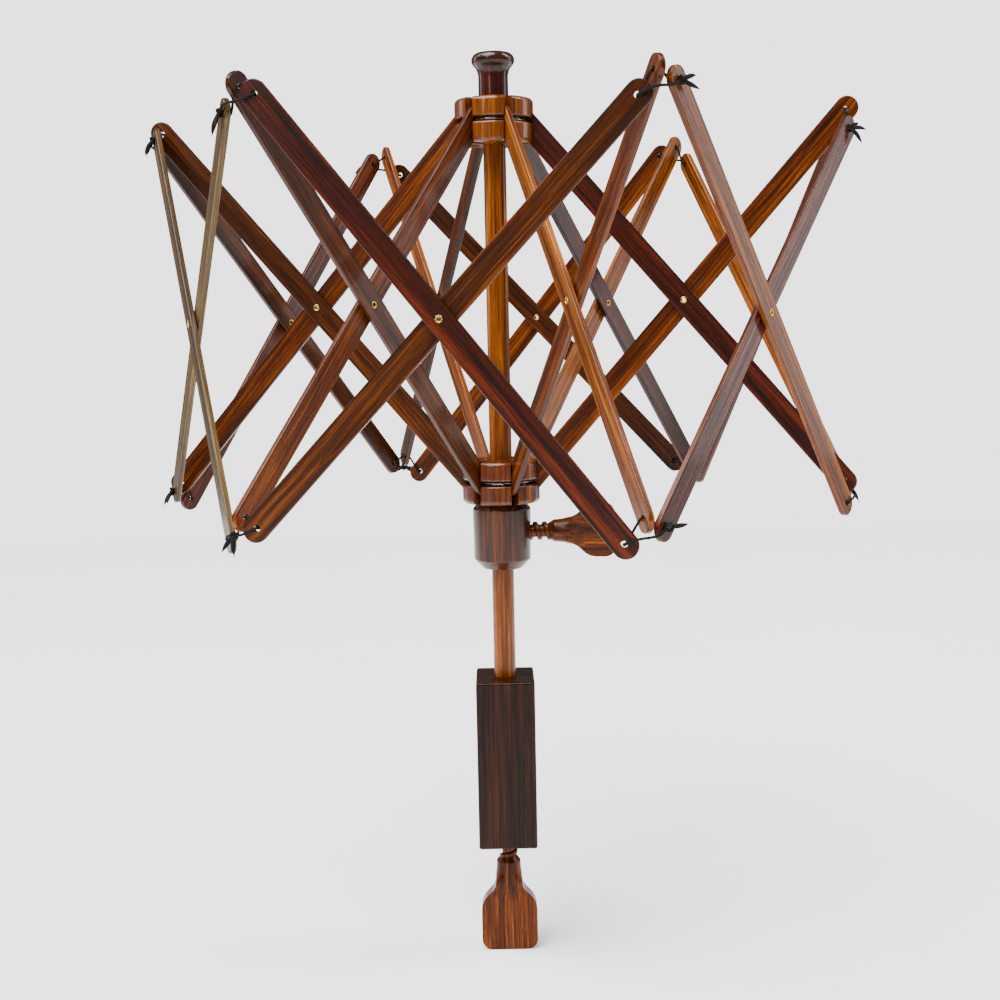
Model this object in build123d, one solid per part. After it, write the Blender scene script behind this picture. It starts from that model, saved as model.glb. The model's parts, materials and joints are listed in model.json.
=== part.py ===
from build123d import *
import os
from math import atan, cos, pi, radians, sin, sqrt

# A table-clamped umbrella yarn swift. Millimetres and degrees. +Z is up, and the
# origin is on the spindle's axis in the underside of the clamp's upper jaw.

# Slats
RIBS = 6                    # pairs of rib slats, and pairs of rim slats
HOLE_SPAN = 400.0           # from the first end hole of a slat to the last
SLAT_WIDTH = 19.0
SLAT_THICK = 4.5
SLAT_NOSE = 1.5             # the rounded end is centred this far past its hole
SLAT_EDGE = 0.9             # rounding of the edges
PAIR_GAP = 1.0              # between the two slats of a crossing pair
SLOPE = 49.0                # slope of the slats as the swift stands
FIRST_RIB = -129.0          # direction of the first rib pair
TIP_HOLE = 5.0              # diameters
HUB_HOLE = 2.6
RIM_OUT = 7.5               # the rim slats' crossings lie outside the rib tips' chords
RIM_DROP = 12.0             # and hang below the level of the rib rivets
RIM_TWIST = 2.2             # the outer rim slats stand steeper and the inner ones flatter

# Tubular rivets
RIVET_BARREL = 4.1
RIVET_BORE = 2.9
RIVET_RIM = 5.6
RIVET_ROLL = 0.6            # height of the rolled rim
RIVET_HOLE_PLAY = 0.06      # radial, in the slat that turns on the rivet
RIVET_FACE_PLAY = 0.06

# Hubs
HUB_RADIUS = 33.0
HUB_HEIGHT = 37.0
HUB_ROUND = 3.8
WIRE_CIRCLE = 26.0          # radius of the ring of wire that the slats hang on
WIRE = 1.6
GROOVE_WIDTH = 4.0
GROOVE_FLOOR = 25.1
SLOT_WIDTH = 6.0
SLOT_FLOOR = 14.0
MOUTH_ROUND = 1.8

# Spindle, knob and collar
RIVET_LEVEL = 356.5         # height of the rib rivets
SPINDLE_RADIUS = 9.5
TENON_RADIUS = 6.5
BORE_PLAY = 0.1             # radial, of hubs and collar on the spindle
END_PLAY = 0.15
SPINDLE_SEAT = 30.0         # depth of the spindle's socket in the block
TENON_IN_KNOB = 16.0
KNOB_HEIGHT = 38.0
KNOB_NECK = 12.5
KNOB_RIM = 18.0
COLLAR_RADIUS = 24.8
COLLAR_HEIGHT = 56.8
COLLAR_TOP = (4.0, 5.0)     # bevel across and down
COLLAR_FOOT = (8.0, 8.0)
COLLAR_SCREW_DROP = 25.5    # of the thumbscrew's axis below the collar's top
COLLAR_SCREW_OUT = 44.8     # of the thumbscrew's shoulder from the spindle's axis

# Wooden screws
THREAD_RADIUS = 8.0
CORE_RADIUS = 5.6
PITCH = 8.0
CREST = 2.6                 # width of the crest, and of the thread at its root
ROOT = 5.6
SCREW_PLAY = 0.12           # radial, in the plain bore that stands for the nut
THREAD_START = 3.0          # length over which the thread starts
CONE = 5.4                  # length of the cone from the thread to the shoulder
# Paddles: length, length of the neck, half the blade's width, shoulder radius, thickness
COLLAR_PADDLE = (52.5, 18.5, 22.8, 9.7, 12.0)
CLAMP_PADDLE = (80.2, 24.0, 24.7, 10.6, 14.0)

# Clamp
BLOCK_X, BLOCK_Y = 50.5, 62.0
BLOCK_TOP = 35.0
BLOCK_FOOT = -111.8
BLOCK_ROUND = 2.0
THROAT_HEIGHT = 60.0
THROAT_BACK = -9.0          # Y of the throat's back wall; it opens to +Y
THROAT_ROUND = 5.0
CLAMP_AXIS_Y = 8.0
PAD_RADIUS = 13.0
PAD_THICK = 6.0
PAD_TOP = -40.0
PIN_RADIUS = 4.0            # the screw's plain tip, which turns in the pad
PIN_LENGTH = 3.0
CLAMP_SHOULDER = -134.3

# Ties at the slat tips
CORD = 2.0
KNOT_RADIUS = 2.2
KNOTS = (0.6, 10.2)         # their places along the hole's axis, from the rib's mid plane

PAIR = SLAT_THICK + PAIR_GAP                 # between the mid planes of a crossing pair
RUN = sqrt(HOLE_SPAN ** 2 - PAIR ** 2)       # a rib slat's span in its radial plane
REACH = WIRE_CIRCLE + RUN * cos(radians(SLOPE))
RISE = RUN * sin(radians(SLOPE)) / 2         # of the hub wires from the rivets' level
UP = Vector(0, 0, 1)


def across(k):
    """Outward and counter-clockwise directions at rib k, which counts from 0."""
    a = radians(FIRST_RIB + k * 360 / RIBS)
    return Vector(cos(a), sin(a), 0), Vector(-sin(a), cos(a), 0)


def at(outward, out, sideways, side, level):
    """A point given across the cage, along it, and by its height from the rivets."""
    return outward * out + sideways * side + UP * (RIVET_LEVEL + level)


def rod(centre, axis, radius, length):
    return Plane(origin=centre, z_dir=axis).location * Cylinder(radius, length)


def slat(start, end, normal, bores):
    """A slat between two holes. bores are (point, axis, diameter)."""
    along = (end - start).normalized()
    normal = normal - along * normal.dot(along)
    plane = Plane(origin=(start + end) / 2, x_dir=along, z_dir=normal)
    length = (end - start).length + 2 * SLAT_NOSE + SLAT_WIDTH
    body = extrude(plane * SlotOverall(length, SLAT_WIDTH), amount=SLAT_THICK / 2, both=True)
    rims = [e for e in body.edges() if abs(e.tangent_at(0.5).dot(plane.z_dir)) < 0.5]
    body = fillet(rims, SLAT_EDGE)
    for point, axis, diameter in bores:
        body -= rod(point, axis, diameter / 2, 4 * SLAT_THICK)
    return body


def rib_pair(k):
    """The slat down from the upper hub and the slat up from the lower hub."""
    out, ccw = across(k)
    middle = (WIRE_CIRCLE + REACH) / 2
    pair = []
    for side, play in ((-1, 0.0), (1, RIVET_HOLE_PLAY)):
        hub = at(out, WIRE_CIRCLE, ccw, 0, -side * RISE)
        tip = at(out, REACH, ccw, side * PAIR, side * RISE)
        rivet = at(out, middle, ccw, side * PAIR / 2, 0)
        bores = [(hub, ccw, HUB_HOLE), (tip, ccw, TIP_HOLE), (rivet, ccw, RIVET_BARREL + 2 * play)]
        pair.append(slat(hub, tip, ccw, bores))
    return pair


def rim_frame(k):
    """Centre, outward normal and rightward direction of the rim face after rib k."""
    out, right = across(k + 0.5)
    return at(out, REACH * cos(pi / RIBS) + RIM_OUT, right, 0, -RIM_DROP), out, right


def rim_pair(k):
    """The outer slat, down to the right, and the inner one, down to the left."""
    centre, out, right = rim_frame(k)
    pair = []
    for side, play in ((1, 0.0), (-1, RIVET_HOLE_PLAY)):
        slope = radians(SLOPE + side * RIM_TWIST)
        half = right * (-side * cos(slope)) + UP * sin(slope)
        middle = centre + out * (side * PAIR / 2)
        top, foot = middle + half * (HOLE_SPAN / 2), middle - half * (HOLE_SPAN / 2)
        bores = [(top, out, TIP_HOLE), (foot, out, TIP_HOLE), (middle, out, RIVET_BARREL + 2 * play)]
        pair.append(slat(top, foot, out, bores))
    return pair


def rivet(centre, axis):
    """A tubular rivet through a pair of slats, rolled over at both ends."""
    seat = PAIR_GAP / 2 + SLAT_THICK + RIVET_FACE_PLAY
    bore, barrel, rim = RIVET_BORE / 2, RIVET_BARREL / 2, RIVET_RIM / 2
    crown = (bore + rim) / 2
    half = Polyline((bore, 0), (barrel, 0), (barrel, seat), (rim, seat))
    roll = ThreePointArc((rim, seat), (crown + 0.35, seat + RIVET_ROLL), (crown - 0.2, seat + RIVET_ROLL * 0.93))
    throat = ThreePointArc((crown - 0.2, seat + RIVET_ROLL * 0.93), (bore + 0.12, seat + 0.2), (bore, seat - 0.5))
    bore_line = Line((bore, seat - 0.5), (bore, 0))
    profile = make_face(Plane.XZ * (half + roll + throat + bore_line))
    end = revolve(profile, Axis.Z)
    return Plane(origin=centre, z_dir=axis).location * (end + mirror(end, Plane.XY))


def slot_cutter(direction):
    """A radial saw slot with a rounded mouth, through the whole height."""
    half, edge = SLOT_WIDTH / 2, HUB_RADIUS
    start = edge - MOUTH_ROUND
    wide = half + MOUTH_ROUND
    bend = MOUTH_ROUND * (1 - sqrt(0.5))
    left = Polyline((start, half), (SLOT_FLOOR, half), (SLOT_FLOOR, -half), (start, -half))
    low = ThreePointArc((start, -half), (edge - bend, -half - bend), (edge, -wide))
    outside = Polyline((edge, -wide), (edge + 5, -wide), (edge + 5, wide), (edge, wide))
    high = ThreePointArc((edge, wide), (edge - bend, half + bend), (start, half))
    shape = make_face(left + low + outside + high)
    return Rot(0, 0, direction) * extrude(shape, amount=HUB_HEIGHT, both=True)


def hub(level, bore):
    """A slotted hub with a groove at mid height for its wire."""
    body = fillet(Cylinder(HUB_RADIUS, HUB_HEIGHT).edges().filter_by(GeomType.CIRCLE), HUB_ROUND)
    half = GROOVE_WIDTH / 2
    depth = HUB_RADIUS - GROOVE_FLOOR
    soft = half + MOUTH_ROUND
    side = Polyline((HUB_RADIUS - MOUTH_ROUND, half), (GROOVE_FLOOR, half), (GROOVE_FLOOR, -half),
                    (HUB_RADIUS - MOUTH_ROUND, -half))
    bend = MOUTH_ROUND * (1 - sqrt(0.5))
    low = ThreePointArc((HUB_RADIUS - MOUTH_ROUND, -half), (HUB_RADIUS - bend, -half - bend), (HUB_RADIUS, -soft))
    back = Polyline((HUB_RADIUS, -soft), (HUB_RADIUS + depth, -soft), (HUB_RADIUS + depth, soft), (HUB_RADIUS, soft))
    high = ThreePointArc((HUB_RADIUS, soft), (HUB_RADIUS - bend, half + bend), (HUB_RADIUS - MOUTH_ROUND, half))
    body -= revolve(make_face(Plane.XZ * (side + low + back + high)), Axis.Z)
    body -= Cylinder(bore, 2 * HUB_HEIGHT)
    for k in range(RIBS):
        body -= slot_cutter(FIRST_RIB + k * 360 / RIBS)
    return Pos(0, 0, level) * body


def wire_ring(level):
    return Pos(0, 0, level) * Torus(WIRE_CIRCLE, WIRE / 2)


def spindle():
    """A dowel with a reduced tenon that the upper hub turns on."""
    shoulder = RIVET_LEVEL + RISE - HUB_HEIGHT / 2 - END_PLAY
    foot = BLOCK_TOP - SPINDLE_SEAT
    tip = RIVET_LEVEL + RISE + HUB_HEIGHT / 2 + END_PLAY + TENON_IN_KNOB
    shaft = Pos(0, 0, (foot + shoulder) / 2) * Cylinder(SPINDLE_RADIUS, shoulder - foot)
    return shaft + Pos(0, 0, (shoulder + tip) / 2) * Cylinder(TENON_RADIUS, tip - shoulder)


def top_knob():
    """A turned knob: a straight neck that flares into a rounded rim."""
    neck, rim, top = KNOB_NECK, KNOB_RIM, KNOB_HEIGHT
    flare = Spline((neck, top - 20), (rim - 1.7, top - 10.5), tangents=[(0, 1), (0.7, 0.71)])
    bead = ThreePointArc((rim - 1.7, top - 10.5), (rim, top - 6.1), (rim - 2.1, top - 1.6))
    brow = ThreePointArc((rim - 2.1, top - 1.6), (rim - 4.05, top - 0.41), (rim - 6.25, top))
    sides = Polyline((rim - 6.25, top), (0, top), (0, 0), (neck, 0), (neck, top - 20))
    body = revolve(make_face(Plane.XZ * (flare + bead + brow + sides)), Axis.Z)
    body -= Pos(0, 0, TENON_IN_KNOB / 2) * Cylinder(TENON_RADIUS, TENON_IN_KNOB)
    return Pos(0, 0, RIVET_LEVEL + RISE + HUB_HEIGHT / 2 + END_PLAY) * body


def collar_top():
    return RIVET_LEVEL - RISE - HUB_HEIGHT / 2 - END_PLAY


def locking_collar():
    """A bevelled collar with a radial hole for its thumbscrew."""
    r, h = COLLAR_RADIUS, COLLAR_HEIGHT
    profile = make_face(Plane.XZ * Polyline(
        (0, 0), (r - COLLAR_TOP[0], 0), (r, -COLLAR_TOP[1]), (r - 0.4, -h + COLLAR_FOOT[1]),
        (r - COLLAR_FOOT[0], -h), (0, -h), (0, 0)))
    body = revolve(profile, Axis.Z)
    ridges = [e for e in body.edges().filter_by(GeomType.CIRCLE) if e.radius > r - COLLAR_FOOT[0] - 0.1]
    body = fillet(ridges, 1.5)
    body = Pos(0, 0, collar_top()) * body
    body -= Pos(0, 0, collar_top() - h / 2) * Cylinder(SPINDLE_RADIUS + BORE_PLAY, 2 * h)
    axis_level = collar_top() - COLLAR_SCREW_DROP
    body -= rod(Vector(r, 0, axis_level), Vector(1, 0, 0), THREAD_RADIUS + SCREW_PLAY, 2 * r)
    return body


def threaded_rod(length, pin):
    """A wooden thread standing on z = 0, with a tapered start and a plain pin at its top."""
    turns = length / PITCH + 2
    path = Helix(PITCH, turns * PITCH, CORE_RADIUS)
    start = Plane(origin=path @ 0, x_dir=(1, 0, 0), z_dir=path % 0)
    depth = THREAD_RADIUS - CORE_RADIUS
    ridge = make_face(start * Polyline(
        (-1, -ROOT / 2), (depth, -CREST / 2), (depth, CREST / 2), (-1, ROOT / 2), (-1, -ROOT / 2)))
    thread = Pos(0, 0, -PITCH) * sweep(ridge, path=path, is_frenet=True)
    wide = THREAD_RADIUS + 1
    thread &= revolve(make_face(Plane.XZ * Polyline(
        (0, 0), (wide, 0), (wide, length - THREAD_START), (CORE_RADIUS - 0.5, length), (0, length), (0, 0))), Axis.Z)
    core = Polyline((0, 0), (CORE_RADIUS, 0), (CORE_RADIUS, length))
    if pin:
        core += Polyline((CORE_RADIUS, length), (PIN_RADIUS, length), (PIN_RADIUS, length + pin))
    core += Line(core @ 1, (0, length + pin)) + Line((0, length + pin), (0, 0))
    return revolve(make_face(Plane.XZ * core), Axis.Z) + thread


def paddle(length, neck, half_width, shoulder, thick):
    """A turned neck that widens into a flat blade. Its shoulder is at z = 0, its blade below."""
    waist, flare = shoulder + 2.6, half_width - shoulder - 2.6
    bend = flare * 1.25
    corner = half_width * 0.36
    right_side = Spline((shoulder, 0), (shoulder + 0.8, -neck * 0.45), (waist, -neck),
                        (half_width - 0.45 * flare, -neck - 0.5 * bend), (half_width, -neck - 1.5 * bend),
                        tangents=[(0, -1), (0, -1)])
    end = Line((half_width, -neck - 1.5 * bend), (half_width, -length + corner))
    turn = RadiusArc((half_width, -length + corner), (half_width - corner, -length), corner)
    foot = Line((half_width - corner, -length), (0, -length))
    right_half = right_side + end + turn + foot + Polyline((0, -length), (0, 0), (shoulder, 0))
    face = make_face(Plane.XZ * right_half)
    plan = extrude(face, amount=2 * shoulder, both=True)
    plan += mirror(plan, Plane.YZ)
    side = make_face(Plane.YZ * (
        Polyline((-shoulder, -neck * 0.5), (-shoulder, 0), (shoulder, 0), (shoulder, -neck * 0.5))
        + Spline((shoulder, -neck * 0.5), (thick / 2 + 0.6, -neck - bend * 0.4), (thick / 2, -neck - 1.5 * bend),
                 tangents=[(0, -1), (0, -1)])
        + Polyline((thick / 2, -neck - 1.5 * bend), (thick / 2, -length), (-thick / 2, -length),
                   (-thick / 2, -neck - 1.5 * bend))
        + Spline((-thick / 2, -neck - 1.5 * bend), (-thick / 2 - 0.6, -neck - bend * 0.4), (-shoulder, -neck * 0.5),
                 tangents=[(0, 1), (0, 1)])))
    blade = plan & extrude(side, amount=2 * half_width, both=True)
    wide = 1.5 * half_width
    envelope = make_face(Plane.XZ * (
        Polyline((0, -length - 1), (0, 0), (shoulder, 0))
        + Spline((shoulder, 0), (shoulder + 0.8, -neck * 0.45), (wide, -neck - 1.2 * bend),
                 tangents=[(0, -1), (1, -0.6)])
        + Polyline((wide, -neck - 1.2 * bend), (wide, -length - 1), (0, -length - 1))))
    return blade & revolve(envelope, Axis.Z)


def screw(thread_length, pin, length, neck, half_width, shoulder, thick):
    """Thread, cone and paddle in one piece, with the shoulder's edge at z = 0."""
    cone = Pos(0, 0, CONE / 2) * Cone(shoulder, CORE_RADIUS + 0.8, CONE)
    return threaded_rod(thread_length, pin) + cone + paddle(length, neck, half_width, shoulder, thick)


def collar_thumbscrew():
    """Its tip stops just short of the spindle."""
    tip = SPINDLE_RADIUS + 0.3
    body = screw(COLLAR_SCREW_OUT - tip, 0, *COLLAR_PADDLE)
    return Pos(COLLAR_SCREW_OUT, 0, collar_top() - COLLAR_SCREW_DROP) * Rot(0, -90, 0) * body


def clamp_screw():
    length = PAD_TOP - PAD_THICK - END_PLAY - CLAMP_SHOULDER
    return Pos(0, CLAMP_AXIS_Y, CLAMP_SHOULDER) * screw(length, PIN_LENGTH, *CLAMP_PADDLE)


def clamp_pad():
    """A disc that presses on the table's underside, with a socket for the screw's tip."""
    disc = fillet(Cylinder(PAD_RADIUS, PAD_THICK).edges().filter_by(GeomType.CIRCLE), 1.2)
    socket = PIN_LENGTH + END_PLAY
    disc -= Pos(0, 0, (socket - PAD_THICK) / 2) * Cylinder(PIN_RADIUS + BORE_PLAY, socket)
    return Pos(0, CLAMP_AXIS_Y, PAD_TOP - PAD_THICK / 2) * disc


def clamp_block():
    """A block with a throat open to +Y, sawn between its two jaws."""
    height = BLOCK_TOP - BLOCK_FOOT
    body = fillet(Box(BLOCK_X, BLOCK_Y, height).edges(), BLOCK_ROUND)
    body = Pos(0, 0, (BLOCK_TOP + BLOCK_FOOT) / 2) * body
    throat_depth = BLOCK_Y / 2 - THROAT_BACK + BLOCK_Y
    throat = Box(2 * BLOCK_X, throat_depth, THROAT_HEIGHT)
    back = throat.edges().filter_by(Axis.X).group_by(Axis.Y)[0]
    throat = fillet(back, THROAT_ROUND)
    body -= Pos(0, THROAT_BACK + throat_depth / 2, -THROAT_HEIGHT / 2) * throat
    body -= Pos(0, 0, BLOCK_TOP - SPINDLE_SEAT / 2) * Cylinder(SPINDLE_RADIUS, SPINDLE_SEAT)
    jaw = BLOCK_FOOT - THROAT_HEIGHT
    return body - Pos(0, CLAMP_AXIS_Y, jaw / 2) * Cylinder(THREAD_RADIUS + SCREW_PLAY, -jaw - THROAT_HEIGHT + 4)


def tie(k, side):
    """The knotted cord through a rib tip's hole: side is 1 at an upper tip, -1 at a lower one."""
    out, ccw = across(k)

    near, far = KNOTS
    neck = sqrt(KNOT_RADIUS ** 2 - (CORD / 2) ** 2)
    outline = (
        ThreePointArc((0, near - KNOT_RADIUS), (KNOT_RADIUS, near), (CORD / 2, near + neck))
        + Line((CORD / 2, near + neck), (CORD / 2, far - neck))
        + ThreePointArc((CORD / 2, far - neck), (KNOT_RADIUS, far), (0, far + KNOT_RADIUS))
        + Line((0, far + KNOT_RADIUS), (0, near - KNOT_RADIUS)))
    cord = revolve(make_face(Plane.XZ * outline), Axis.Z)
    hole = at(out, REACH, ccw, 0, side * RISE)
    return Plane(origin=hole, z_dir=ccw * side).location * cord


def save(name, body):
    body.label = name
    export_step(body, "parts/" + name + ".step")


os.makedirs("parts", exist_ok=True)
hub_bore = SPINDLE_RADIUS + BORE_PLAY
save("clamp_block", clamp_block())
save("clamp_pad", clamp_pad())
save("clamp_screw", clamp_screw())
save("spindle", spindle())
save("top_knob", top_knob())
save("upper_hub", hub(RIVET_LEVEL + RISE, TENON_RADIUS + BORE_PLAY))
save("lower_hub", hub(RIVET_LEVEL - RISE, hub_bore))
save("upper_hub_wire", wire_ring(RIVET_LEVEL + RISE))
save("lower_hub_wire", wire_ring(RIVET_LEVEL - RISE))
save("locking_collar", locking_collar())
save("collar_thumbscrew", collar_thumbscrew())
for n in range(RIBS):
    rib_out, rib_ccw = across(n)
    down, up = rib_pair(n)
    outer, inner = rim_pair(n)
    rim_centre, rim_out, rim_right = rim_frame(n)
    label = str(n + 1)
    save("rib_down_slat_" + label, down)
    save("rib_up_slat_" + label, up)
    save("rib_rivet_" + label, rivet(at(rib_out, (WIRE_CIRCLE + REACH) / 2, rib_ccw, 0, 0), rib_ccw))
    save("rim_outer_slat_" + label, outer)
    save("rim_inner_slat_" + label, inner)
    save("rim_rivet_" + label, rivet(rim_centre, rim_out))
    save("upper_tie_" + label, tie(n, 1))
    save("lower_tie_" + label, tie(n, -1))
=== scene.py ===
"""Looks of the yarn swift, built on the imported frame. Metres, origin in the clamp's jaw, +Z up."""

import json
import math
import random

import bmesh
import bpy
from mathutils import Matrix, Vector


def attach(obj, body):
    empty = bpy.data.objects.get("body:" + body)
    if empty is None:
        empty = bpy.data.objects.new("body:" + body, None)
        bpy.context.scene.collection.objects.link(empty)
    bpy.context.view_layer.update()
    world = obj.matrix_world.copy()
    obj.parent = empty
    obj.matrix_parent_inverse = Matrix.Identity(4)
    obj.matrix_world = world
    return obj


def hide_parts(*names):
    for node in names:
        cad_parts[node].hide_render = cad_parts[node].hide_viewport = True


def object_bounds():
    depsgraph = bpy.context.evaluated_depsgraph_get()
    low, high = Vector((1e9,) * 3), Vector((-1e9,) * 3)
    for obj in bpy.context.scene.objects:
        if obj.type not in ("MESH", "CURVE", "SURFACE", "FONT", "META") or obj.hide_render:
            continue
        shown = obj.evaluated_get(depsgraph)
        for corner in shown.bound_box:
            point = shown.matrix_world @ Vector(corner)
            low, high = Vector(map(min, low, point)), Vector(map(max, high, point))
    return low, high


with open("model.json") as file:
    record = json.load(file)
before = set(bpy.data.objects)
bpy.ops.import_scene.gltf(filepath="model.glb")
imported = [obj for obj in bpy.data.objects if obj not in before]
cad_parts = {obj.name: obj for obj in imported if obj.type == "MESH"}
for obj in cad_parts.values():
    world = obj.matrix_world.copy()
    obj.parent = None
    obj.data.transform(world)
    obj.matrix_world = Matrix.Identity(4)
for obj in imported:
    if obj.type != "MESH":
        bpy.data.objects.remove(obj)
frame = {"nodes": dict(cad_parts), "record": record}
CAD_BOX = [[float(c) for c in v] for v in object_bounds()]
nodes = frame["nodes"]
MM = 0.001

# ---------------------------------------------------------------- the mechanism's own sizes, mm
FIRST_RIB = -129.0  # angle of rib 1 round the spindle, degrees
RIVET_LEVEL = 356.5  # height of the rib slats' crossing
HUB_RADIUS = 26.0  # from the spindle's axis to the hub wire
HOLE_SPAN = 400.0  # between a slat's end holes
THICK = 4.5  # of every slat
PAIR = 5.5  # between the middle planes of two crossed slats
SLOPE = math.radians(49.0)
RIM_TWIST = math.radians(2.2)
RIM_OUT = 7.5  # rim faces stand outside the rib tips
RIM_DROP = 12.0  # and their rivets lower than the ribs'
RUN = math.sqrt(HOLE_SPAN**2 - PAIR**2)
REACH = HUB_RADIUS + RUN * math.cos(SLOPE)  # from the spindle's axis to a rib tip
RISE = RUN * math.sin(SLOPE) / 2
HALF = THICK / 2
X, Y, UP = Vector((1, 0, 0)), Vector((0, 1, 0)), Vector((0, 0, 1))


def ray(degrees):
    """(outward, counter-clockwise) unit vectors at an angle round the spindle."""
    a = math.radians(degrees)
    return Vector((math.cos(a), math.sin(a), 0)), Vector((-math.sin(a), math.cos(a), 0))


def rib_line(k, way):
    """Hub hole and tip hole of a rib slat; way is -1 for the falling slat, +1 for the rising one."""
    out, left = ray(FIRST_RIB + 60 * k)
    middle = UP * RIVET_LEVEL
    at_hub = out * HUB_RADIUS - UP * RISE * way + middle
    at_tip = out * REACH + left * PAIR * way + UP * RISE * way + middle
    return at_hub, at_tip


def rim_line(k, way):
    """Upper and lower hole of a rim slat; way is +1 for the outer slat, -1 for the inner one."""
    out, left = ray(FIRST_RIB + 60 * (k + 0.5))
    middle = out * (REACH * math.cos(math.pi / 6) + RIM_OUT + way * PAIR / 2) + UP * (RIVET_LEVEL - RIM_DROP)
    slope = SLOPE + way * RIM_TWIST
    half = (-left * way * math.cos(slope) + UP * math.sin(slope)) * HOLE_SPAN / 2
    return middle + half, middle - half


# ---------------------------------------------------------------- node-tree helpers
def linear(r, g, b):
    """A colour of 0 to 255 values, decoded from sRGB."""
    return tuple(((c / 255 + 0.055) / 1.055) ** 2.4 if c > 10 else c / 3295 for c in (r, g, b)) + (1.0,)


def material(name):
    """A new material with a Principled shader: (material, its node tree, the shader)."""
    m = bpy.data.materials.new(name)
    m.use_nodes = True
    tree = m.node_tree
    tree.nodes.clear()
    out = tree.nodes.new("ShaderNodeOutputMaterial")
    skin = tree.nodes.new("ShaderNodeBsdfPrincipled")
    tree.links.new(skin.outputs[0], out.inputs[0])
    return m, tree, skin


def node(tree, kind, inputs=None, **properties):
    """Adds a shader node; an input is a value or a socket to link from."""
    n = tree.nodes.new("ShaderNode" + kind)
    for key, value in properties.items():
        setattr(n, key, value)
    for key, value in (inputs or {}).items():
        if isinstance(value, bpy.types.NodeSocket):
            tree.links.new(value, n.inputs[key])
        else:
            n.inputs[key].default_value = value
    return n


def stretch(tree, vector, x, y, z):
    return node(tree, "Mapping", {"Vector": vector, "Scale": (x, y, z)}).outputs[0]


def noise(tree, vector, detail=3.0, roughness=0.55, distortion=0.0):
    inputs = {"Vector": vector, "Scale": 1.0, "Detail": detail}
    inputs |= {"Roughness": roughness, "Distortion": distortion}
    return node(tree, "TexNoise", inputs).outputs[0]


def maths(tree, operation, a, b, c=None):
    n = node(tree, "Math", {0: a, 1: b}, operation=operation)
    if c is not None:
        n.inputs[2].default_value = c
    return n.outputs[0]


def spread(tree, value, low, high, to_low=0.0, to_high=1.0):
    """The value's range low to high, mapped to another range and clamped to it."""
    inputs = {"Value": value, "From Min": low, "From Max": high, "To Min": to_low, "To Max": to_high}
    return node(tree, "MapRange", inputs, clamp=True).outputs[0]


def blend_colours(tree, factor, a, b):
    n = tree.nodes.new("ShaderNodeMix")
    n.data_type = "RGBA"
    for index, value in ((0, factor), (6, a), (7, b)):
        if isinstance(value, bpy.types.NodeSocket):
            tree.links.new(value, n.inputs[index])
        else:
            n.inputs[index].default_value = value
    return n.outputs[2]


def ramp(tree, factor, stops):
    n = tree.nodes.new("ShaderNodeValToRGB")
    tree.links.new(factor, n.inputs[0])
    while len(n.color_ramp.elements) < len(stops):
        n.color_ramp.elements.new(0.5)
    for element, (place, colour) in zip(n.color_ramp.elements, stops):
        element.position, element.color = place, colour
    return n.outputs[0]


# ---------------------------------------------------------------- materials
# each wood's vein, dark, light and palest colour, as sRGB
TONES = {
    "block": ((9, 2, 1), (22, 7, 2), (36, 13, 3), (56, 23, 6)),
    "plum": ((12, 2, 1), (32, 8, 3), (52, 15, 5), (92, 34, 12)),
    "umber": ((14, 4, 0), (36, 13, 1), (60, 25, 3), (100, 50, 10)),
    "russet": ((22, 6, 0), (54, 19, 1), (84, 36, 3), (132, 66, 12)),
    "honey": ((34, 12, 0), (72, 31, 2), (104, 50, 5), (150, 86, 20)),
    "ginger": ((36, 13, 0), (78, 35, 4), (114, 58, 10), (158, 94, 26)),
    # mauve and olive are greyed, paler tones over the wood's own grain: a painted reflection of the bright sides
    # on the slats that face them
    "mauve_painted_reflection": ((21, 6, 3), (48, 18, 10), (75, 34, 20), (108, 61, 38)),
    "olive_painted_reflection": ((27, 15, 5), (54, 36, 14), (80, 58, 27), (116, 92, 50)),
}


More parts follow.
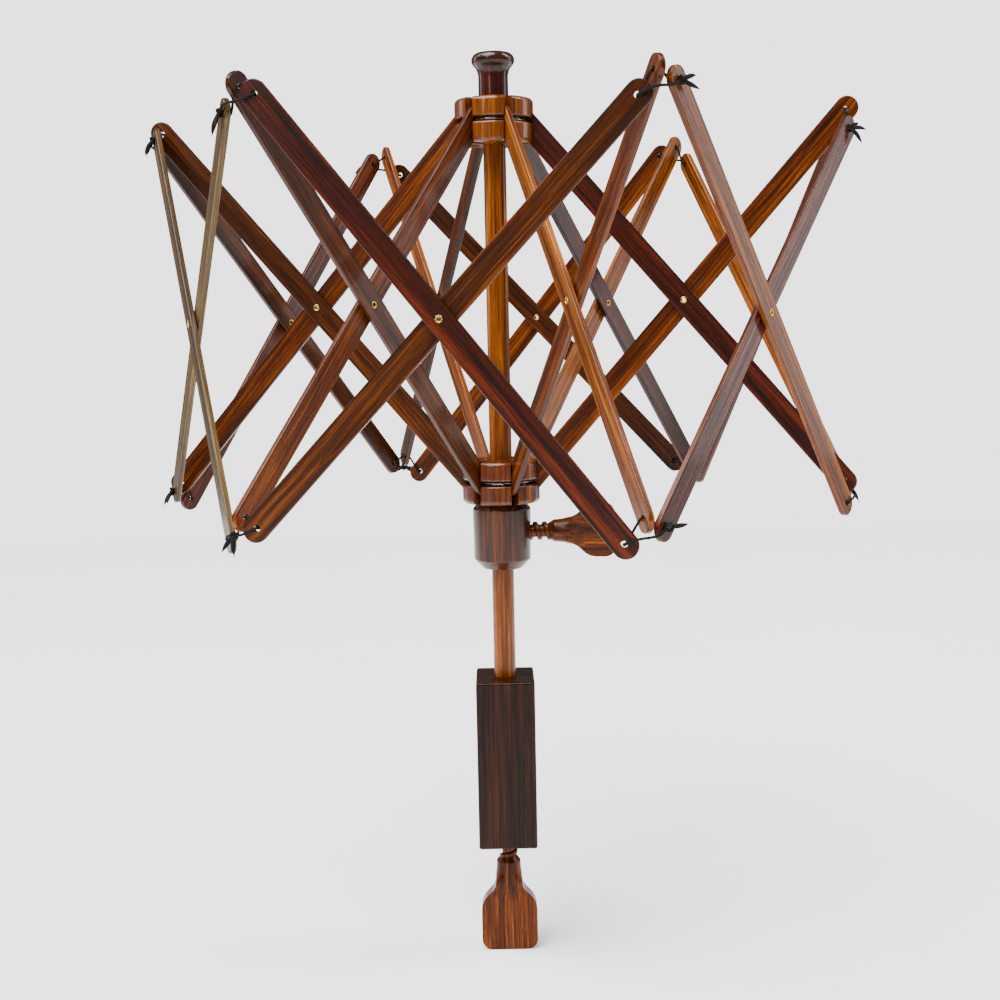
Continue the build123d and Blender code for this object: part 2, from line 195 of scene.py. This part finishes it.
def wood(name, tone, start, along, across, seed, streak=1.0, gloss=0.27, varnish=0.14):
    """Oiled rosewood with its grain along one direction: broad figure, streaks, fibres and open pores."""
    m, tree, skin = material(name)
    x = along.normalized()
    z = x.cross(across).normalized()
    turn = Matrix((x, z.cross(x), z)).transposed().to_euler()
    chance = random.Random(seed)
    shift = Vector([chance.uniform(-0.4, 0.4) for _ in range(3)])
    place = node(tree, "TexCoord").outputs["Object"]
    inputs = {"Vector": place, "Location": start * MM + shift, "Rotation": turn}
    place = node(tree, "Mapping", inputs, vector_type="TEXTURE").outputs[0]
    drift = node(tree, "TexNoise", {"Vector": stretch(tree, place, 9, 60, 60), "Scale": 1.0, "Detail": 2.0})
    drift = node(tree, "VectorMath", {0: drift.outputs["Color"], 1: (-0.5, -0.5, -0.5)}, operation="ADD")
    drift = node(tree, "VectorMath", {0: drift.outputs[0], "Scale": 0.006}, operation="SCALE")
    place = node(tree, "VectorMath", {0: place, 1: drift.outputs[0]}, operation="ADD").outputs[0]

    # each stretch is in cycles per metre, first along the grain and then across it
    figure = noise(tree, stretch(tree, place, 3, 120 * streak, 120 * streak), 2.0, 0.5, 0.6)
    streaks = noise(tree, stretch(tree, place, 8, 620 * streak, 620 * streak), 6.0, 0.68)
    fibres = noise(tree, stretch(tree, place, 45, 2300, 2300), 3.0, 0.6)
    pores = noise(tree, stretch(tree, place, 170, 3400, 3400), 2.0, 0.5)

    value = maths(tree, "MULTIPLY_ADD", figure, 0.9, -0.45)
    value = maths(tree, "ADD", value, maths(tree, "MULTIPLY_ADD", streaks, 1.5, -0.75))
    value = maths(tree, "ADD", value, maths(tree, "MULTIPLY_ADD", fibres, 0.5, -0.25))
    value = maths(tree, "ADD", value, 0.5)
    dark, low, high, pale = [linear(*c) for c in TONES[tone]]
    colour = ramp(tree, value, [(0.16, dark), (0.40, low), (0.60, high), (0.86, pale)])
    open_pores = spread(tree, pores, 0.60, 0.70)
    tinted = blend_colours(tree, maths(tree, "MULTIPLY", open_pores, 0.55), colour, linear(16, 6, 3))
    tree.links.new(tinted, skin.inputs["Base Color"])
    tree.links.new(spread(tree, streaks, 0.3, 0.7, gloss + 0.12, gloss - 0.03), skin.inputs["Roughness"])
    height = maths(tree, "SUBTRACT", maths(tree, "MULTIPLY", fibres, 0.5), open_pores)
    bump = node(tree, "Bump", {"Height": height, "Strength": 0.22, "Distance": 0.00012})
    tree.links.new(bump.outputs[0], skin.inputs["Normal"])
    skin.inputs["Specular IOR Level"].default_value = 0.08 + 0.6 * min(varnish, 0.2)
    skin.inputs["Coat Weight"].default_value = varnish
    skin.inputs["Coat Roughness"].default_value = 0.08
    return m


def brass(name):
    m, tree, skin = material(name)
    place = node(tree, "TexCoord").outputs["Object"]
    stain = noise(tree, stretch(tree, place, 420, 420, 420), 4.0, 0.6)
    tones = [(0.30, linear(120, 84, 36)), (0.52, linear(204, 162, 86)), (0.72, linear(232, 200, 128))]
    tree.links.new(ramp(tree, stain, tones), skin.inputs["Base Color"])
    tree.links.new(spread(tree, stain, 0.3, 0.7, 0.42, 0.2), skin.inputs["Roughness"])
    scratch = noise(tree, stretch(tree, place, 2600, 2600, 700), 2.0)
    bump = node(tree, "Bump", {"Height": scratch, "Strength": 0.15, "Distance": 0.00005})
    tree.links.new(bump.outputs[0], skin.inputs["Normal"])
    skin.inputs["Metallic"].default_value = 1.0
    return m


def steel(name):
    m, tree, skin = material(name)
    place = node(tree, "TexCoord").outputs["Object"]
    stain = noise(tree, stretch(tree, place, 700, 700, 700), 4.0, 0.6)
    tones = [(0.3, linear(120, 116, 110)), (0.7, linear(196, 194, 190))]
    tree.links.new(ramp(tree, stain, tones), skin.inputs["Base Color"])
    tree.links.new(spread(tree, stain, 0.3, 0.7, 0.45, 0.26), skin.inputs["Roughness"])
    bump = node(tree, "Bump", {"Height": stain, "Strength": 0.1, "Distance": 0.00004})
    tree.links.new(bump.outputs[0], skin.inputs["Normal"])
    skin.inputs["Metallic"].default_value = 1.0
    return m


BRAID_LAY = 0.0021  # metres of cord for one crossing of its strands
STRANDS = 4  # each way round the cord


def braid(name):
    """Black braided cord: UV runs along the cord in metres and once round it."""
    m, tree, skin = material(name)
    uv = node(tree, "TexCoord").outputs["UV"]
    split = node(tree, "SeparateXYZ", {0: uv})
    along = maths(tree, "MULTIPLY", split.outputs[0], 2 * math.pi / BRAID_LAY)
    round_ = maths(tree, "MULTIPLY", split.outputs[1], 2 * math.pi * STRANDS)
    right = maths(tree, "SINE", maths(tree, "ADD", along, round_), 0.0)
    left = maths(tree, "SINE", maths(tree, "SUBTRACT", along, round_), 0.0)
    weave = maths(tree, "MAXIMUM", right, left)
    place = node(tree, "TexCoord").outputs["Object"]
    fuzz = noise(tree, stretch(tree, place, 5200, 5200, 5200), 3.0, 0.7)
    height = maths(tree, "ADD", weave, maths(tree, "MULTIPLY", fuzz, 0.8))
    # the cord's colour follows the weave's height: painted shade in the hollows between strands and a painted
    # highlight on the crests
    tones = [(0.0, linear(2, 2, 2)), (0.6, linear(8, 7, 8)), (1.0, linear(24, 22, 22))]
    tree.links.new(ramp(tree, spread(tree, height, -0.6, 1.6), tones), skin.inputs["Base Color"])
    bump = node(tree, "Bump", {"Height": height, "Strength": 0.7, "Distance": 0.00016})
    tree.links.new(bump.outputs[0], skin.inputs["Normal"])
    skin.inputs["Roughness"].default_value = 0.8
    skin.inputs["Specular IOR Level"].default_value = 0.15
    return m


def paint(name, finish):
    """Gives a frame node one material."""
    o = nodes[name]
    for entry in o.material_slots:
        entry.material = finish
    if not o.material_slots:
        o.data.materials.append(finish)


# falling and rising rib slats, then outer and inner rim slats, each in its own piece of wood; the mauve and olive
# rim slats carry a painted reflection of the bright sides in their colour
FALLING = ("russet", "ginger", "plum", "plum", "umber", "russet")
RISING = ("umber", "russet", "russet", "ginger", "ginger", "umber")
OUTER = ("plum", "honey", "mauve_painted_reflection", "russet", "mauve_painted_reflection", "olive_painted_reflection")
INNER = ("umber", "mauve_painted_reflection", "ginger", "umber", "umber", "olive_painted_reflection")
for k in range(6):
    out, left = ray(FIRST_RIB + 60 * k)
    face = ray(FIRST_RIB + 60 * (k + 0.5))[0]
    for label, tone, (a, b), across, seed in (
        (f"rib_down_slat_{k + 1}", FALLING[k], rib_line(k, -1), left, 10 + k),
        (f"rib_up_slat_{k + 1}", RISING[k], rib_line(k, 1), left, 20 + k),
        (f"rim_outer_slat_{k + 1}", OUTER[k], rim_line(k, 1), face, 30 + k),
        (f"rim_inner_slat_{k + 1}", INNER[k], rim_line(k, -1), face, 40 + k),
    ):
        paint(label, wood("rosewood_" + label, tone, a, b - a, across, seed))

# turned and sawn pieces: tone, grain direction, seed, fineness of the streaks, varnish
TURNED_GLOSS = 0.24
GRAIN_START = Vector((3, 5, 0))  # where their grain pattern starts, mm
for label, tone, along, seed, streak, varnish in (
    ("upper_hub", "honey", UP, 61, 0.6, 0.35),
    ("lower_hub", "russet", UP, 62, 0.6, 0.35),
    ("spindle", "honey", UP, 63, 0.9, 0.12),
    ("top_knob", "plum", UP, 64, 0.7, 0.3),
    ("locking_collar", "umber", UP, 65, 0.6, 0.25),
    ("collar_thumbscrew", "russet", X, 66, 0.8, 0.08),
    ("clamp_block", "block", UP, 67, 1.0, 0.04),
    ("clamp_screw", "russet", UP, 68, 1.0, 0.03),
    ("clamp_pad", "umber", Y, 69, 0.9, 0.2),
):
    across = X if along is Y else Y
    paint(label, wood("rosewood_" + label, tone, GRAIN_START, along, across, seed, streak, TURNED_GLOSS, varnish))
BRASS, STEEL, CORD = brass("rolled_brass"), steel("drawn_steel_wire"), braid("black_braided_cord")
paint("upper_hub_wire", STEEL)
paint("lower_hub_wire", STEEL)


# ---------------------------------------------------------------- mesh helpers
def finish_mesh(name, bm, finish, body, replaced=()):
    """Turns a bmesh into a smooth object that rides on a body, in place of the nodes it replaces."""
    mesh = bpy.data.meshes.new(name)
    bmesh.ops.recalc_face_normals(bm, faces=bm.faces)
    bm.to_mesh(mesh)
    bm.free()
    for p in mesh.polygons:
        p.use_smooth = True
    mesh.materials.append(finish)
    o = bpy.data.objects.new(name, mesh)
    bpy.context.scene.collection.objects.link(o)
    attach(o, body)
    if replaced:
        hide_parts(*replaced)
    return o


def smooth_line(points, closed, steps=8):
    """A uniform Catmull-Rom line through the points, in the points' own units."""
    n = len(points)
    line = []
    for i in range(n if closed else n - 1):
        p0 = points[(i - 1) % n] if closed or i else points[0] * 2 - points[1]
        p1, p2 = points[i], points[(i + 1) % n]
        p3 = points[(i + 2) % n] if closed or i + 2 < n else p2 * 2 - p1
        square, cube = p0 * 2 - p1 * 5 + p2 * 4 - p3, p1 * 3 - p0 - p2 * 3 + p3
        for j in range(steps):
            t = j / steps
            line.append((p1 * 2 + (p2 - p0) * t + square * t * t + cube * t**3) / 2)
    if not closed:
        line.append(points[-1].copy())
    return line


def line_length(line, closed=False):
    total = sum((b - a).length for a, b in zip(line, line[1:]))
    return total + ((line[0] - line[-1]).length if closed else 0.0)


def tube(bm, line, radius, closed=False, sides=12, flat=None):
    """Adds a round or flattened tube along a line in mm, with UVs that run along it in metres."""
    uv = bm.loops.layers.uv.verify()
    n = len(line)
    if closed:
        tangents = [(line[(i + 1) % n] - line[i - 1]).normalized() for i in range(n)]
    else:
        tangents = [(line[min(i + 1, n - 1)] - line[max(i - 1, 0)]).normalized() for i in range(n)]
    side = tangents[0].orthogonal().normalized()
    frames = []
    for i, tangent in enumerate(tangents):
        side = (side - tangent * side.dot(tangent)).normalized()
        frames.append((side.copy(), tangent.cross(side)))
    slip = 0.0  # how far the frames have turned after one round, undone evenly along the tube
    if closed:
        back = (side - tangents[0] * side.dot(tangents[0])).normalized()
        slip = math.atan2(back.dot(frames[0][1]), back.dot(frames[0][0]))
    rings, runs, run = [], [], 0.0
    for i, (a, b) in enumerate(frames):
        r = radius(i / (n - 1)) if callable(radius) else radius
        f = flat(i / (n - 1)) if flat else 1.0
        undo = -slip * i / n
        ring = []
        for s in range(sides):
            w = 2 * math.pi * s / sides + undo
            ring.append(bm.verts.new((line[i] + a * math.cos(w) * r + b * math.sin(w) * r * f) * MM))
        rings.append(ring)
        runs.append(run * MM)
        run += (line[(i + 1) % n] - line[i]).length
    runs.append(run * MM)
    for i in range(n if closed else n - 1):
        one, two = rings[i], rings[(i + 1) % n]
        for s in range(sides):
            t = (s + 1) % sides
            face = bm.faces.new((one[s], one[t], two[t], two[s]))
            for loop, (u, v) in zip(face.loops, ((i, s), (i, s + 1), (i + 1, s + 1), (i + 1, s))):
                loop[uv].uv = (runs[u], v / sides)
    if not closed:
        bulge = 0.7  # of the end's radius
        for ring, centre, way in ((rings[0], line[0], -tangents[0]), (rings[-1], line[-1], tangents[-1])):
            size = (ring[0].co / MM - centre).length
            tip = bm.verts.new((centre + way * size * bulge) * MM)
            for s in range(sides):
                bm.faces.new((ring[s], ring[(s + 1) % sides], tip))


# ---------------------------------------------------------------- eyelets
BORE, BARREL = 1.45, 2.04  # an eyelet's inner and outer radius, mm
SCALLOPS = 8


def eyelet(name, centre, axis, node_name, body):
    """A hollow brass eyelet: flared and scalloped where it was set, plainly rolled at its other end."""
    bm = bmesh.new()
    side = axis.orthogonal().normalized()
    other = axis.cross(side)
    face = (PAIR + THICK) / 2
    half = [
        (BORE, 0.0), (BORE, face - 0.7), (1.52, face - 0.1), (1.7, face + 0.35), (2.05, face + 0.56),
        (2.45, face + 0.5), (2.74, face + 0.28), (2.78, face + 0.12), (2.5, face + 0.07),
        (BARREL, face + 0.07), (BARREL, 0.0),
    ]
    profile = half + [(r, -a) for r, a in reversed(half[1:-1])]
    count, steps = len(profile), 72
    rings = []
    for s in range(steps):
        w = 2 * math.pi * s / steps
        ring = []
        for r, a in profile:
            flare = r - 1.6  # past the bore's own radius
            if a > face + 0.1 and flare > 0:
                lobe = math.cos(SCALLOPS * w)
                r, a = r * (1 + 0.045 * lobe * flare), a - 0.1 * (1 - lobe) * flare
            point = centre + side * math.cos(w) * r + other * math.sin(w) * r + axis * a
            ring.append(bm.verts.new(point * MM))
        rings.append(ring)
    for s in range(steps):
        one, two = rings[s], rings[(s + 1) % steps]
        for i in range(count):
            j = (i + 1) % count
            bm.faces.new((one[i], two[i], two[j], one[j]))
    return finish_mesh(name, bm, BRASS, body, (node_name,))


for k in range(6):
    out, left = ray(FIRST_RIB + 60 * k)
    centre = out * (HUB_RADIUS + REACH) / 2 + UP * RIVET_LEVEL
    set_end = left if k in (2, 3, 4) else -left  # opposite ribs are set from the same side
    eyelet(f"rib_eyelet_{k + 1}", centre, set_end, f"rib_rivet_{k + 1}", f"rib_down_{k + 1}")
    face = ray(FIRST_RIB + 60 * (k + 0.5))[0]
    high, low = rim_line(k, 1)
    centre = (high + low) / 2 - face * PAIR / 2
    eyelet(f"rim_eyelet_{k + 1}", centre, face, f"rim_rivet_{k + 1}", f"rim_outer_{k + 1}")


# ---------------------------------------------------------------- twisted ends of the hub wires
WIRE = 0.78  # radius, mm
APART = 0.82  # from the twist's axis to each wire's
TWISTS = 3.4
SWEEP = 21  # degrees of the hub that the twist lies along, between ribs 1 and 2
for label, level in (("upper_hub", RIVET_LEVEL + RISE), ("lower_hub", RIVET_LEVEL - RISE)):
    bm = bmesh.new()
    for strand in (0, 1):
        points = []
        for i in range(41):
            t = i / 40
            lift = min(1.0, t * 6)  # the first sixth comes up out of the groove
            angle = math.radians(FIRST_RIB + 30 - 9 + SWEEP * t)
            turn = 2 * math.pi * TWISTS * t + math.pi * strand
            r = HUB_RADIUS + 0.9 + 1.6 * lift + APART * math.cos(turn) * lift
            z = level + APART * math.sin(turn) * lift
            points.append(Vector((r * math.cos(angle), r * math.sin(angle), z)))
        tube(bm, points, WIRE, sides=10)
    finish_mesh(f"{label}_wire_twist", bm, STEEL, label)


# ---------------------------------------------------------------- corner ties
CORD_RADIUS = 0.98  # mm; the knot pulls its own a little thinner
KNOT_RADIUS = 0.95


def trefoil(centre, normal, size, thick, turn):
    """The closed line of a trefoil knot that lies flat on a face with the given normal."""
    side = UP.cross(normal).normalized()
    rise = normal.cross(side)
    line = []
    for i in range(60):
        t = 2 * math.pi * i / 60
        x = (math.sin(t) + 2 * math.sin(2 * t)) * size
        y = (math.cos(t) - 2 * math.cos(2 * t)) * size
        x, y = x * math.cos(turn) - y * math.sin(turn), x * math.sin(turn) + y * math.cos(turn)
        line.append(centre + side * x + rise * y - normal * math.sin(3 * t) * thick)
    return line


def frayed(t):
    """Radius of a tail along its length: it opens out past the knot and closes at its end."""
    return 1.0 + 0.95 * math.sin(math.pi * min(1, t * 1.15)) - 0.85 * t**4


def corner_tie(k, top, knot_at, tails, seed):
    """One loop of cord through the rib's hole and both rim slats' holes, knotted outside, with two tails."""
    chance = random.Random(seed)
    out, left = ray(FIRST_RIB + 60 * k)
    way = 1 if top else -1
    hole_rib = rib_line(k, way)[1]
    if top:
        hole_a, hole_b = rim_line(k, 1)[0], rim_line((k - 1) % 6, -1)[0]
    else:
        hole_a, hole_b = rim_line((k - 1) % 6, 1)[1], rim_line(k, -1)[1]
    normal_a = ray(FIRST_RIB + 60 * k + 30 * way)[0]
    normal_b = ray(FIRST_RIB + 60 * k - 30 * way)[0]
    along = left * way

    def edge(hole, normal, other, reach, lift):
        """A point on a rim slat's outer face, some way from its hole towards the other slat's."""
        flat = other - hole
        flat -= normal * flat.dot(normal)
        return hole + normal * (HALF + lift) + flat.normalized() * reach

    loop = [
        hole_a + normal_a * (HALF + 1.15),
        hole_a - normal_a * 0.2,
        hole_a - normal_a * (HALF + 1.3) - along * 1.2,
        hole_rib + along * (HALF + 1.9) - UP * 0.8,
        hole_rib,
        hole_rib - along * (HALF + 1.6) - UP * 1.2,
        hole_b - normal_b * (HALF + 1.6) + along * 0.6,
        hole_b + normal_b * 0.2,
        hole_b + normal_b * (HALF + 1.2) + along * 1.6,
        edge(hole_b, normal_b, hole_a, 12.4, 1.0),
        edge(hole_a, normal_a, hole_b, 10.4, 1.15),
        edge(hole_a, normal_a, hole_b, 4.0, 1.25),
    ]
    line = smooth_line(loop, True, 7)
    bm = bmesh.new()
    tube(bm, line, CORD_RADIUS, closed=True)
    length = line_length(line, True)
    if knot_at == "A":
        centre, normal = hole_a + normal_a * (HALF + 2.0), normal_a
    elif knot_at == "B":
        centre, normal = hole_b + normal_b * (HALF + 2.0), normal_b
    else:
        centre, normal = (loop[9] + loop[10]) / 2 + out * 1.2, out
    knot = trefoil(centre, normal, 0.95, 1.15, chance.uniform(0, 6))
    tube(bm, knot, KNOT_RADIUS, closed=True)
    length += line_length(knot, True)
    across = UP.cross(normal).normalized()
    for direction, drop, reach in tails:
        heading = (across * direction[0] + UP * direction[1] + normal * 0.35).normalized()
        bend = heading.cross(normal) * chance.uniform(-0.12, 0.12)
        points = []
        for t in (0.0, 0.2, 0.42, 0.64, 0.84, 1.0):
            sag = bend * reach * t * t * 2 - UP * drop * t * t
            points.append(centre + heading * reach * t + sag + normal * 0.8 * math.sin(3 * t))
        points = smooth_line(points, False, 6)
        tube(bm, points, frayed, flat=lambda t: 1 - 0.55 * t)
        length += line_length(points)
    name = ("upper" if top else "lower") + f"_tie_{k + 1}"
    finish_mesh(name + "_cord", bm, CORD, name, (TIE_NODE[name],))
    return length


BODIES = frame["record"]["behaviour"]["bodies"]
TIE_NODE = {body: members[0] for body, members in BODIES.items() if "_tie_" in body}
# for each corner: where its knot sits, then each tail's direction on the face, sag and length, mm
UPPER = (
    ("B", (((-0.3, -1.0), 2, 15), ((0.9, -0.55), 2, 16))),
    ("A", (((1.0, -0.45), 1, 16), ((0.75, 0.65), 2, 13))),
    ("B", (((1.0, 0.25), 4, 17), ((0.5, -0.8), 2, 14))),
    ("A", (((-0.9, -0.3), 4, 16), ((0.6, -0.7), 3, 15))),
    ("A", (((0.9, -0.2), 5, 17), ((-0.6, 0.5), 4, 14))),
    ("A", (((-0.9, -0.55), 3, 16), ((-0.3, -0.9), 2, 13))),
)
LOWER = (
    ("mid", (((0.3, -0.9), 2, 15), ((-0.5, -0.8), 2, 14))),
    ("B", (((1.0, 0.05), 1, 17), ((-0.8, 0.5), 3, 13))),
    ("B", (((0.6, -0.75), 2, 17), ((-0.5, -0.6), 3, 14))),
    ("B", (((0.9, 0.3), 5, 16), ((-0.7, -0.5), 3, 15))),
    ("mid", (((0.8, -0.4), 3, 17), ((-0.8, -0.3), 4, 15))),
    ("B", (((-0.6, -0.8), 2, 17), ((0.5, -0.5), 3, 13))),
)
cord_lengths = []
for k in range(6):
    cord_lengths.append(corner_tie(k, True, *UPPER[k], 100 + k))
    cord_lengths.append(corner_tie(k, False, *LOWER[k], 200 + k))
print("cord in each tie, mm:", [round(c) for c in cord_lengths])


# ---------------------------------------------------------------- floor, light, camera
AIM = Vector((0, 0, 0.33))  # near the middle of the cage


def lamp(name, where, size, power, tall):
    """A soft box that faces the cage; metres and watts."""
    data = bpy.data.lights.new(name, "AREA")
    data.energy, data.shape = power, "RECTANGLE"
    data.size, data.size_y = size, tall
    o = bpy.data.objects.new(name, data)
    bpy.context.scene.collection.objects.link(o)
    o.location = where
    o.rotation_euler = (AIM - Vector(where)).to_track_quat("-Z", "Y").to_euler()


world = bpy.data.worlds.new("studio")
bpy.context.scene.world = world
world.use_nodes = True
tree = world.node_tree
tree.nodes.clear()
SEEN, SHED = 2.75, 0.16  # a bright backdrop that sheds little light
white = (1.0, 1.0, 1.0, 1.0)
seen = node(tree, "Background", {0: white, 1: SEEN})
shed = node(tree, "Background", {0: white, 1: SHED})
path, either, result = (node(tree, kind) for kind in ("LightPath", "MixShader", "OutputWorld"))
tree.links.new(path.outputs["Is Camera Ray"], either.inputs[0])
tree.links.new(shed.outputs[0], either.inputs[1])
tree.links.new(seen.outputs[0], either.inputs[2])
tree.links.new(either.outputs[0], result.inputs[0])

FLOOR_REACH = 2.7  # metres from the middle to each side
FLOOR_GAP = 0.0006  # below the handle
bm = bmesh.new()
bmesh.ops.create_grid(bm, x_segments=8, y_segments=8, size=FLOOR_REACH)
mesh = bpy.data.meshes.new("floor")
bm.to_mesh(mesh)
bm.free()
floor = bpy.data.objects.new("floor", mesh)
floor.location = (0, 0, CAD_BOX[0][2] - FLOOR_GAP)
bpy.context.scene.collection.objects.link(floor)
floor_finish, tree, skin = material("pale_floor")
speckle = noise(tree, stretch(tree, node(tree, "TexCoord").outputs["Object"], 3, 3, 3), 2.0)
tones = [(0.2, linear(246, 246, 245)), (0.8, linear(252, 252, 251))]
tree.links.new(ramp(tree, speckle, tones), skin.inputs["Base Color"])
skin.inputs["Roughness"].default_value = 0.8
mesh.materials.append(floor_finish)

lamp("left_box", (-2.3, 0.9, 0.9), 0.7, 13, 1.6)
lamp("right_box", (2.3, 0.5, 0.8), 0.7, 13, 1.6)
lamp("right_edge", (1.7, -0.1, 1.9), 0.5, 36, 1.3)
lamp("left_edge", (-1.5, 0.2, 2.0), 0.4, 16, 1.0)
lamp("front_strip", (-1.3, -2.3, 1.5), 0.35, 12, 1.2)
key = bpy.data.lights.new("sky_panel", "SUN")
key.energy, key.angle = 9.3, math.radians(50)
sky = bpy.data.objects.new("sky_panel", key)
sky.rotation_euler = (Vector((-0.35, -0.45, 1.0))).to_track_quat("Z", "Y").to_euler()
bpy.context.scene.collection.objects.link(sky)

# the camera looks along +Y and a little down, and is rolled a little
EYE = Vector((-0.0025, -1.336, 0.3438))
AZIMUTH, PITCH, ROLL = math.radians(0.05), math.radians(6.62), math.radians(-1.157)
level = Vector((math.sin(AZIMUTH), math.cos(AZIMUTH), 0))
ahead = level * math.cos(PITCH) - UP * math.sin(PITCH)
right = Vector((math.cos(AZIMUTH), -math.sin(AZIMUTH), 0))
above = right.cross(ahead)
c, s = math.cos(ROLL), math.sin(ROLL)
right, above = right * c + above * s, above * c - right * s
lens = bpy.data.cameras.new("camera")
lens.sensor_width, lens.lens = 36.0, 56.2
lens.clip_start, lens.clip_end = 0.01, 60.0
camera = bpy.data.objects.new("camera", lens)
camera.matrix_world = Matrix.Translation(EYE) @ Matrix((right, above, -ahead)).transposed().to_4x4()
bpy.context.scene.collection.objects.link(camera)
bpy.context.scene.camera = camera
